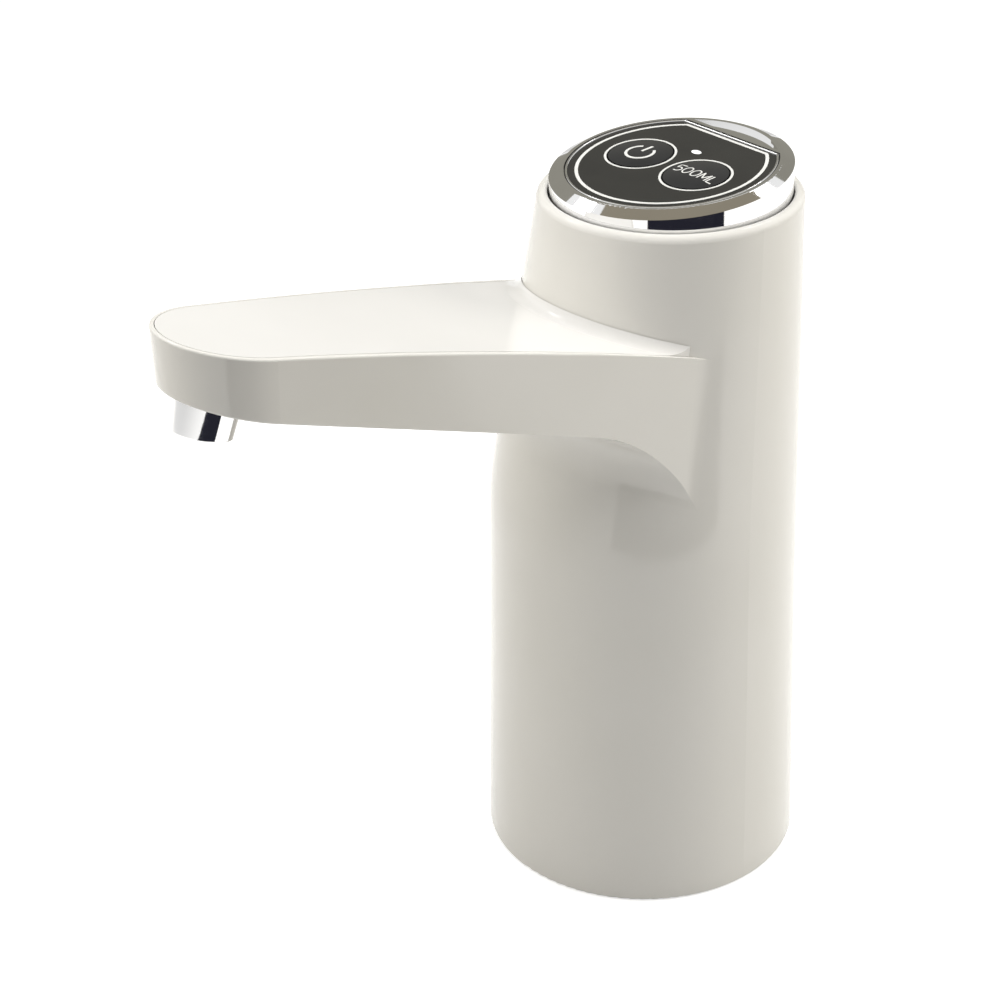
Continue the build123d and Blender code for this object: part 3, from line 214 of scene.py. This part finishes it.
# The materials inside: switches, boards, socket and chassis
plunger_white = surface(
    "plunger_white", dark=(0.6, 0.59, 0.55), light=(0.68, 0.67, 0.63), rough=(0.45, 0.6),
    grain=1500, wave=150,
)
switch_black = surface(
    "switch_black", dark=(0.012, 0.012, 0.012), light=(0.03, 0.03, 0.03), rough=(0.5, 0.65),
    grain=1500, wave=200,
)
led_white = surface(
    "led_white", dark=(0.75, 0.7, 0.5), light=(0.85, 0.82, 0.68), rough=(0.15, 0.25),
    grain=1500, wave=300,
)
board_green = surface(
    "board_green", dark=(0.008, 0.07, 0.03), light=(0.015, 0.12, 0.055), rough=(0.25, 0.4),
    grain=1400, wave=260, grain_bump=0.1, wave_bump=0.1,
)
screw_steel = surface(
    "screw_steel", dark=(0.42, 0.42, 0.43), light=(0.58, 0.58, 0.6), rough=(0.22, 0.4),
    metal=1.0, grain=2400, wave=400, grain_bump=0.1,
)
socket_white = surface(
    "socket_white", dark=(0.66, 0.655, 0.64), light=(0.73, 0.725, 0.71), rough=(0.38, 0.52),
    grain=1500, wave=60, grain_bump=0.18,
)
grip_silicone = surface(
    "grip_silicone", dark=(0.55, 0.56, 0.56), light=(0.66, 0.67, 0.67), rough=(0.42, 0.6),
    grain=1200, wave=70, grain_bump=0.1, see=0.15,
)
chassis_grey = surface(
    "chassis_grey", dark=(0.12, 0.122, 0.125), light=(0.17, 0.172, 0.175), rough=(0.4, 0.55),
    grain=1200, wave=60,
)

# The materials of the water way, the cell, the pump and the motor
fitting_white = surface(
    "fitting_white", dark=(0.62, 0.63, 0.62), light=(0.7, 0.71, 0.7), rough=(0.3, 0.42),
    grain=1400, wave=120,
)
tube_silicone = surface(
    "tube_silicone", dark=(0.62, 0.64, 0.64), light=(0.74, 0.76, 0.76), rough=(0.2, 0.35),
    grain=900, wave=120, see=0.4,
)
cell_wrap = surface(
    "cell_wrap", dark=(0.01, 0.07, 0.28), light=(0.02, 0.11, 0.4), rough=(0.18, 0.3),
    grain=700, wave=90,
)
clip_steel = surface(
    "clip_steel", dark=(0.4, 0.4, 0.4), light=(0.56, 0.56, 0.56), rough=(0.25, 0.45),
    metal=1.0, grain=1600, wave=150, stretch=(1, 1, 12),
)
pump_black = surface(
    "pump_black", dark=(0.01, 0.01, 0.011), light=(0.028, 0.028, 0.03), rough=(0.42, 0.6),
    grain=1500, wave=100,
)
pump_rubber = surface(
    "pump_rubber", dark=(0.012, 0.012, 0.012), light=(0.03, 0.03, 0.03), rough=(0.6, 0.8),
    grain=1100, wave=140,
)
wobble_white = surface(
    "wobble_white", dark=(0.62, 0.6, 0.52), light=(0.72, 0.7, 0.62), rough=(0.3, 0.42),
    grain=1500, wave=150,
)
motor_steel = surface(
    "motor_steel", dark=(0.5, 0.5, 0.51), light=(0.64, 0.64, 0.66), rough=(0.16, 0.34),
    metal=1.0, grain=1400, wave=120, stretch=(1, 1, 14),
)
magnet_dark = surface(
    "magnet_dark", dark=(0.02, 0.02, 0.022), light=(0.05, 0.05, 0.055), rough=(0.5, 0.7),
    grain=900, wave=160,
)
brass = surface(
    "brass", dark=(0.5, 0.34, 0.1), light=(0.66, 0.47, 0.17), rough=(0.2, 0.38),
    metal=1.0, grain=2000, wave=200,
)
rotor_core = surface(
    "rotor_core", dark=(0.2, 0.14, 0.1), light=(0.36, 0.3, 0.25), rough=(0.3, 0.5),
    metal=0.8, grain=1000, wave=900, stretch=(1, 1, 8),
)
looks = {
    "shell_white": shell_white, "cover_white": cover_white, "trim_chrome": trim_chrome,
    "panel_black": panel_black, "key_black": key_black, "light_clear": lamp_white,
    "switch_black": switch_black, "plunger_white": plunger_white, "led_white": led_white,
    "board_green": board_green, "screw_steel": screw_steel, "socket_white": socket_white,
    "grip_silicone": grip_silicone, "chassis_grey": chassis_grey,
    "fitting_white": fitting_white, "tube_silicone": tube_silicone, "cell_wrap": cell_wrap,
    "clip_steel": clip_steel, "pump_black": pump_black, "pump_rubber": pump_rubber,
    "wobble_white": wobble_white, "motor_steel": motor_steel, "magnet_dark": magnet_dark,
    "brass": brass, "rotor_core": rotor_core,
}
for entry in frame["record"]["subparts"]:
    node = frame["nodes"][entry["node"]]
    node.data.materials.clear()
    node.data.materials.append(looks[entry["material_slot"]])


# Flat outlines on the panel's plane, in mm
def circle(cx, cy, radius):
    turns = [TAU * i / CIRCLE_STEPS for i in range(CIRCLE_STEPS)]
    return [(cx + radius * math.cos(a), cy + radius * math.sin(a)) for a in turns]


def clipped_disc(radius, chord, corner):
    # A disc with one flat side, its two corners rounded
    half = math.sqrt((radius - corner) ** 2 - (chord - corner) ** 2)
    cy = chord - corner
    turn = math.atan2(cy, half)
    rest = math.pi / 2 - turn
    points = []
    for i in range(ARC_STEPS + 1):
        a = math.pi - turn + (math.pi + 2 * turn) * i / ARC_STEPS
        points.append((radius * math.cos(a), radius * math.sin(a)))
    for i in range(1, CORNER_STEPS + 1):
        a = turn + rest * i / CORNER_STEPS
        points.append((half + corner * math.cos(a), cy + corner * math.sin(a)))
    for i in range(CORNER_STEPS):
        a = math.pi / 2 + rest * i / CORNER_STEPS
        points.append((-half + corner * math.cos(a), cy + corner * math.sin(a)))
    return points


def inset(loop, amount):
    # Moves a closed loop inward along its own normals
    count = len(loop)
    following = loop[1:] + loop[:1]
    area = sum(ax * by - bx * ay for (ax, ay), (bx, by) in zip(loop, following))
    turn = 1 if area > 0 else -1
    moved = []
    for i, (x, y) in enumerate(loop):
        ax, ay = loop[i - 1]
        bx, by = loop[(i + 1) % count]
        dx, dy = bx - ax, by - ay
        shift = turn * amount / math.hypot(dx, dy)
        moved.append((x - shift * dy, y + shift * dx))
    return moved


def stroke(points, width):
    # The left and right side of a band of even width along an open path
    left, right = [], []
    for i, (x, y) in enumerate(points):
        ax, ay = points[max(i - 1, 0)]
        bx, by = points[min(i + 1, len(points) - 1)]
        length = math.hypot(bx - ax, by - ay)
        nx, ny = -(by - ay) / length, (bx - ax) / length
        left.append((x + nx * width / 2, y + ny * width / 2))
        right.append((x - nx * width / 2, y - ny * width / 2))
    return left, right


# Pieces laid on the panel
def show(name, data):
    thing = bpy.data.objects.new(name, data)
    bpy.context.scene.collection.objects.link(thing)
    return thing


def mesh_data(mesh, name):
    data = bpy.data.meshes.new(name)
    mesh.to_mesh(data)
    mesh.free()
    return data


def finish_piece(mesh, name, material, body):
    bmesh.ops.recalc_face_normals(mesh, faces=mesh.faces)
    data = mesh_data(mesh, name)
    thing = show(name, data)
    data.transform(RING)
    data.materials.append(material)
    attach(thing, body)


def loop_vertices(mesh, loop, level):
    return [mesh.verts.new(Vector((x, y, level)) * MM) for x, y in loop]


def closed_ribbon(mesh, lower, upper):
    # Faces between two closed loops of vertices
    count = len(lower)
    for i in range(count):
        j = (i + 1) % count
        mesh.faces.new((lower[i], lower[j], upper[j], upper[i]))


def printed_loop(name, outer, inner, ink):
    # A flat closed line of print on the panel
    mesh = bmesh.new()
    corners = [
        loop_vertices(mesh, outer, PANEL_TOP),
        loop_vertices(mesh, outer, PANEL_TOP + ink),
        loop_vertices(mesh, inner, PANEL_TOP + ink),
        loop_vertices(mesh, inner, PANEL_TOP),
    ]
    for i, lower in enumerate(corners):
        closed_ribbon(mesh, lower, corners[(i + 1) % len(corners)])
    finish_piece(mesh, name, ink_white, "housing")


def bright_bead(name, outline):
    # A half round chrome bead along the panel's edge
    mesh = bmesh.new()
    loops = []
    for i in range(BEAD_STEPS + 1):
        angle = math.pi * i / BEAD_STEPS
        moved = inset(outline, BEAD_WIDTH / 2 * (1 - math.cos(angle)))
        loops.append(loop_vertices(mesh, moved, PANEL_TOP + BEAD_RISE * math.sin(angle)))
    for i, upper in enumerate(loops):
        closed_ribbon(mesh, loops[i - 1], upper)
    for face in mesh.faces:
        face.smooth = True
    finish_piece(mesh, name, trim_chrome, "housing")


def printed_strokes(name, paths, width, crown, body):
    # Open strokes of print that follow the dome of a key
    mesh = bmesh.new()

    def side_vertices(side, lift):
        row = []
        for x, y in side:
            px, py = x - crown[0], y - crown[1]
            level = KEY_CROWN + KEY_FILM + lift - (px * px + py * py) / (2 * KEY_CURVE)
            row.append(mesh.verts.new(Vector((x, y, level)) * MM))
        return row

    for path in paths:
        left, right = stroke(path, width)
        corners = [
            side_vertices(left, 0),
            side_vertices(left, SYMBOL_INK),
            side_vertices(right, SYMBOL_INK),
            side_vertices(right, 0),
        ]
        for i in range(len(path) - 1):
            for k, a in enumerate(corners):
                b = corners[(k + 1) % len(corners)]
                mesh.faces.new((a[i], a[i + 1], b[i + 1], b[i]))
        for end in (0, -1):
            mesh.faces.new([row[end] for row in corners])
    finish_piece(mesh, name, ink_white, body)


border = clipped_disc(BORDER_RADIUS, BORDER_CHORD, BORDER_CORNER)
printed_loop("panel_border_line", border, inset(border, BORDER_WIDTH), BORDER_INK)
for side, label in ((-1, "left"), (1, "right")):
    printed_loop(
        "key_ring_" + label,
        circle(side * KEY_SPREAD, KEY_OFFSET, KEY_RING_OUTER),
        circle(side * KEY_SPREAD, KEY_OFFSET, KEY_RING_INNER),
        KEY_RING_INK,
    )
bright_bead("ring_inner_bead", clipped_disc(PANEL_RADIUS, PANEL_CHORD, PANEL_CORNER))


# The power symbol on the left key
def power_paths(cx, cy):
    arc = []
    for i in range(POWER_STEPS + 1):
        a = math.radians(POWER_START + POWER_SWEEP * i / POWER_STEPS)
        arc.append((cx + POWER_RADIUS * math.cos(a), cy - POWER_DROP + POWER_RADIUS * math.sin(a)))
    bar = [(cx, cy + BAR_START + BAR_LENGTH * i / BAR_STEPS) for i in range(BAR_STEPS + 1)]
    return [arc, bar]


left_key = (-KEY_SPREAD, KEY_OFFSET)
printed_strokes("power_symbol", power_paths(*left_key), POWER_LINE, left_key, "power_button")


# The dose on the right key: each character gives its width and its strokes
def five():
    lean, stem = FIVE_LEAN, FIVE_STEM * TALL
    flag = [(WIDE, TALL), (WIDE / 2, TALL), (2 * lean, TALL), (lean, stem)]
    bowl = [(lean, FIVE_TURN * TALL), (BOWL_START * WIDE, BOWL_TOP * TALL)]
    across, high = (1 - BOWL_MIDDLE) * WIDE, BOWL_TOP * TALL / 2
    for i in range(BOWL_STEPS + 1):
        a = math.radians(BOWL_FROM + BOWL_SWEEP * i / BOWL_STEPS)
        bowl.append((BOWL_MIDDLE * WIDE + across * math.sin(a), high + high * math.cos(a)))
    return WIDE, [flag, bowl]


def zero():
    across, high = WIDE / 2, TALL / 2
    turns = [TAU * i / ZERO_STEPS for i in range(ZERO_STEPS + 1)]
    return WIDE, [[(across + across * math.cos(a), high + high * math.sin(a)) for a in turns]]


def em():
    lean, dip = EM_LEAN, (EM_WIDE / 2, EM_DIP * TALL)
    left_top, right_top = (2 * lean, TALL), (EM_WIDE - 2 * lean, TALL)
    left_leg = [(0, 0), (lean, TALL / 2), left_top]
    right_leg = [right_top, (EM_WIDE - lean, TALL / 2), (EM_WIDE, 0)]
    return EM_WIDE, [left_leg, [left_top, dip], [dip, right_top], right_leg]


def ell():
    leg = [(0, TALL), (0, TALL / 2), (0, 0)]
    foot = [(0, 0), (ELL_WIDE / 2, 0), (ELL_WIDE, 0)]
    return ELL_WIDE, [leg, foot]


def dose_paths(cx, cy):
    glyphs = [five(), zero(), zero(), em(), ell()]
    total = sum(width for width, paths in glyphs) + GAP * (len(glyphs) - 1)
    start = cx - total / 2
    placed = []
    for width, paths in glyphs:
        for path in paths:
            placed.append([(start + x, cy - TALL / 2 + y) for x, y in path])
        start += width + GAP
    return placed


right_key = (KEY_SPREAD, KEY_OFFSET)
printed_strokes("dose_symbol", dose_paths(*right_key), DOSE_LINE, right_key, "dose_button")


# The camera
def camera_view():
    azimuth, rise = math.radians(CAMERA_TURN), math.radians(CAMERA_RISE)
    roll = math.radians(CAMERA_ROLL)
    level = math.cos(rise)
    back = Vector((math.sin(azimuth) * level, -math.cos(azimuth) * level, math.sin(rise)))
    right = Vector((math.cos(azimuth), math.sin(azimuth), 0))
    up = back.cross(right)
    side_axis = right * math.cos(roll) + up * math.sin(roll)
    up_axis = up * math.cos(roll) - right * math.sin(roll)
    view = Matrix((side_axis, up_axis, back)).transposed().to_4x4()
    view.translation = EYE
    return view


camera_data = bpy.data.cameras.new("camera")
camera_data.sensor_width = SENSOR_WIDTH
camera_data.lens = FOCAL_PIXELS / IMAGE_PIXELS * SENSOR_WIDTH
camera_data.clip_start = CLIP_START
camera = show("camera", camera_data)
camera.matrix_world = camera_view()
bpy.context.scene.camera = camera


# The lamps, and the studio cards that only the gloss sees
def face_object(thing, where):
    direction = (Vector(where) - Vector(LAMP_AIM)).normalized()
    turn = direction.to_track_quat("Z", "Y").to_matrix().to_4x4()
    thing.matrix_world = Matrix.Translation(Vector(where)) @ turn


def lamp(name, where, size, power, mirrored, colour=PLAIN_LIGHT):
    data = bpy.data.lights.new(name, "AREA")
    data.color = colour
    data.shape = "RECTANGLE"
    data.size = size
    data.size_y = size
    data.energy = power
    thing = show(name, data)
    face_object(thing, where)
    thing.visible_glossy = mirrored


def card(name, where, size, colour):
    # It neither lights nor shades the object, and the camera doesn't see it
    mesh = bmesh.new()
    bmesh.ops.create_grid(mesh, x_segments=1, y_segments=1, size=0.5)
    data = mesh_data(mesh, name)
    thing = show(name, data)
    face_object(thing, where)
    thing.matrix_world = thing.matrix_world @ Matrix.Diagonal((*size, 1, 1))
    look = bpy.data.materials.new(name)
    look.use_nodes = True
    nodes, links = look.node_tree.nodes, look.node_tree.links
    nodes.clear()
    out = nodes.new("ShaderNodeOutputMaterial")
    shine = nodes.new("ShaderNodeEmission")
    shine.inputs["Color"].default_value = (*colour, 1)
    links.new(shine.outputs[0], out.inputs["Surface"])
    data.materials.append(look)
    thing.visible_camera = False
    thing.visible_diffuse = False
    thing.visible_shadow = False
    thing.visible_transmission = False


lamp("lamp_top", (0.0, 0.0, 0.95), TOP_SIZE, TOP_POWER, mirrored=False)
lamp("lamp_left", (-0.49, -0.63, 0.45), SIDE_SIZE, LEFT_POWER, mirrored=False, colour=SIDE_WARMTH)
lamp("lamp_right", (0.49, 0.63, 0.45), SIDE_SIZE, RIGHT_POWER, mirrored=False, colour=SIDE_WARMTH)
lamp("spot_left", (-0.54, -0.06, 0.72), SPOT_SIZE, SPOT_POWER, mirrored=True)
lamp("spot_right", (-0.10, 0.50, 0.76), SPOT_SIZE, SPOT_POWER, mirrored=True)
card("card_ceiling", (-0.06, 0.08, 0.95), size=(1.0, 1.0), colour=(0.30, 0.27, 0.21))
card("card_back", (-0.75, 0.60, 0.53), size=(1.3, 0.86), colour=(0.30, 0.29, 0.25))
card("card_front", (0.21, -0.11, 0.02), size=(0.34, 0.12), colour=(0.02, 0.02, 0.03))


# The surroundings: dim light on the object, plain white where they are seen
def either(nodes, links, first, second):
    node = nodes.new("ShaderNodeMath")
    node.operation = "MAXIMUM"
    links.new(first, node.inputs[0])
    links.new(second, node.inputs[1])
    return node.outputs[0]


def seen_directly(nodes, links):
    # One for camera, glossy and see-through rays, else zero
    rays = nodes.new("ShaderNodeLightPath").outputs
    seen = either(nodes, links, rays["Is Camera Ray"], rays["Is Glossy Ray"])
    return either(nodes, links, seen, rays["Is Transmission Ray"])


def make_world():
    world = bpy.data.worlds.new("world")
    bpy.context.scene.world = world
    world.use_nodes = True
    nodes, links = world.node_tree.nodes, world.node_tree.links
    dim = nodes["Background"]
    dim.inputs["Color"].default_value = (*AMBIENT_COLOUR, 1)
    dim.inputs["Strength"].default_value = AMBIENT
    plain = nodes.new("ShaderNodeBackground")
    plain.inputs["Color"].default_value = (1, 1, 1, 1)
    plain.inputs["Strength"].default_value = 1.0
    mix = nodes.new("ShaderNodeMixShader")
    links.new(seen_directly(nodes, links), mix.inputs["Fac"])
    links.new(dim.outputs[0], mix.inputs[1])
    links.new(plain.outputs[0], mix.inputs[2])
    links.new(mix.outputs[0], nodes["World Output"].inputs["Surface"])


def floor_material():
    # Pale, seen as white, and it keeps the shadow
    look = bpy.data.materials.new("floor")
    look.use_nodes = True
    nodes, links = look.node_tree.nodes, look.node_tree.links
    nodes.clear()
    out = nodes.new("ShaderNodeOutputMaterial")
    diffuse = nodes.new("ShaderNodeBsdfDiffuse")
    diffuse.inputs["Color"].default_value = (FLOOR_GREY, FLOOR_GREY, FLOOR_GREY, 1)
    glow = nodes.new("ShaderNodeEmission")
    glow.inputs["Color"].default_value = (1, 1, 1, 1)
    glow.inputs["Strength"].default_value = FLOOR_GLOW
    add = nodes.new("ShaderNodeAddShader")
    links.new(diffuse.outputs[0], add.inputs[0])
    links.new(glow.outputs[0], add.inputs[1])
    pick = nodes.new("ShaderNodeMixShader")
    links.new(seen_directly(nodes, links), pick.inputs["Fac"])
    links.new(diffuse.outputs[0], pick.inputs[1])
    links.new(add.outputs[0], pick.inputs[2])
    links.new(pick.outputs[0], out.inputs["Surface"])
    return look


def make_floor():
    mesh = bmesh.new()
    bmesh.ops.create_grid(mesh, x_segments=FLOOR_CELLS, y_segments=FLOOR_CELLS, size=FLOOR_HALF)
    data = mesh_data(mesh, "floor")
    data.materials.append(floor_material())
    floor = show("floor", data)
    floor.location = (0, 0, -FLOOR_DROP)


make_world()
make_floor()
bpy.context.scene.view_settings.view_transform = "Standard"
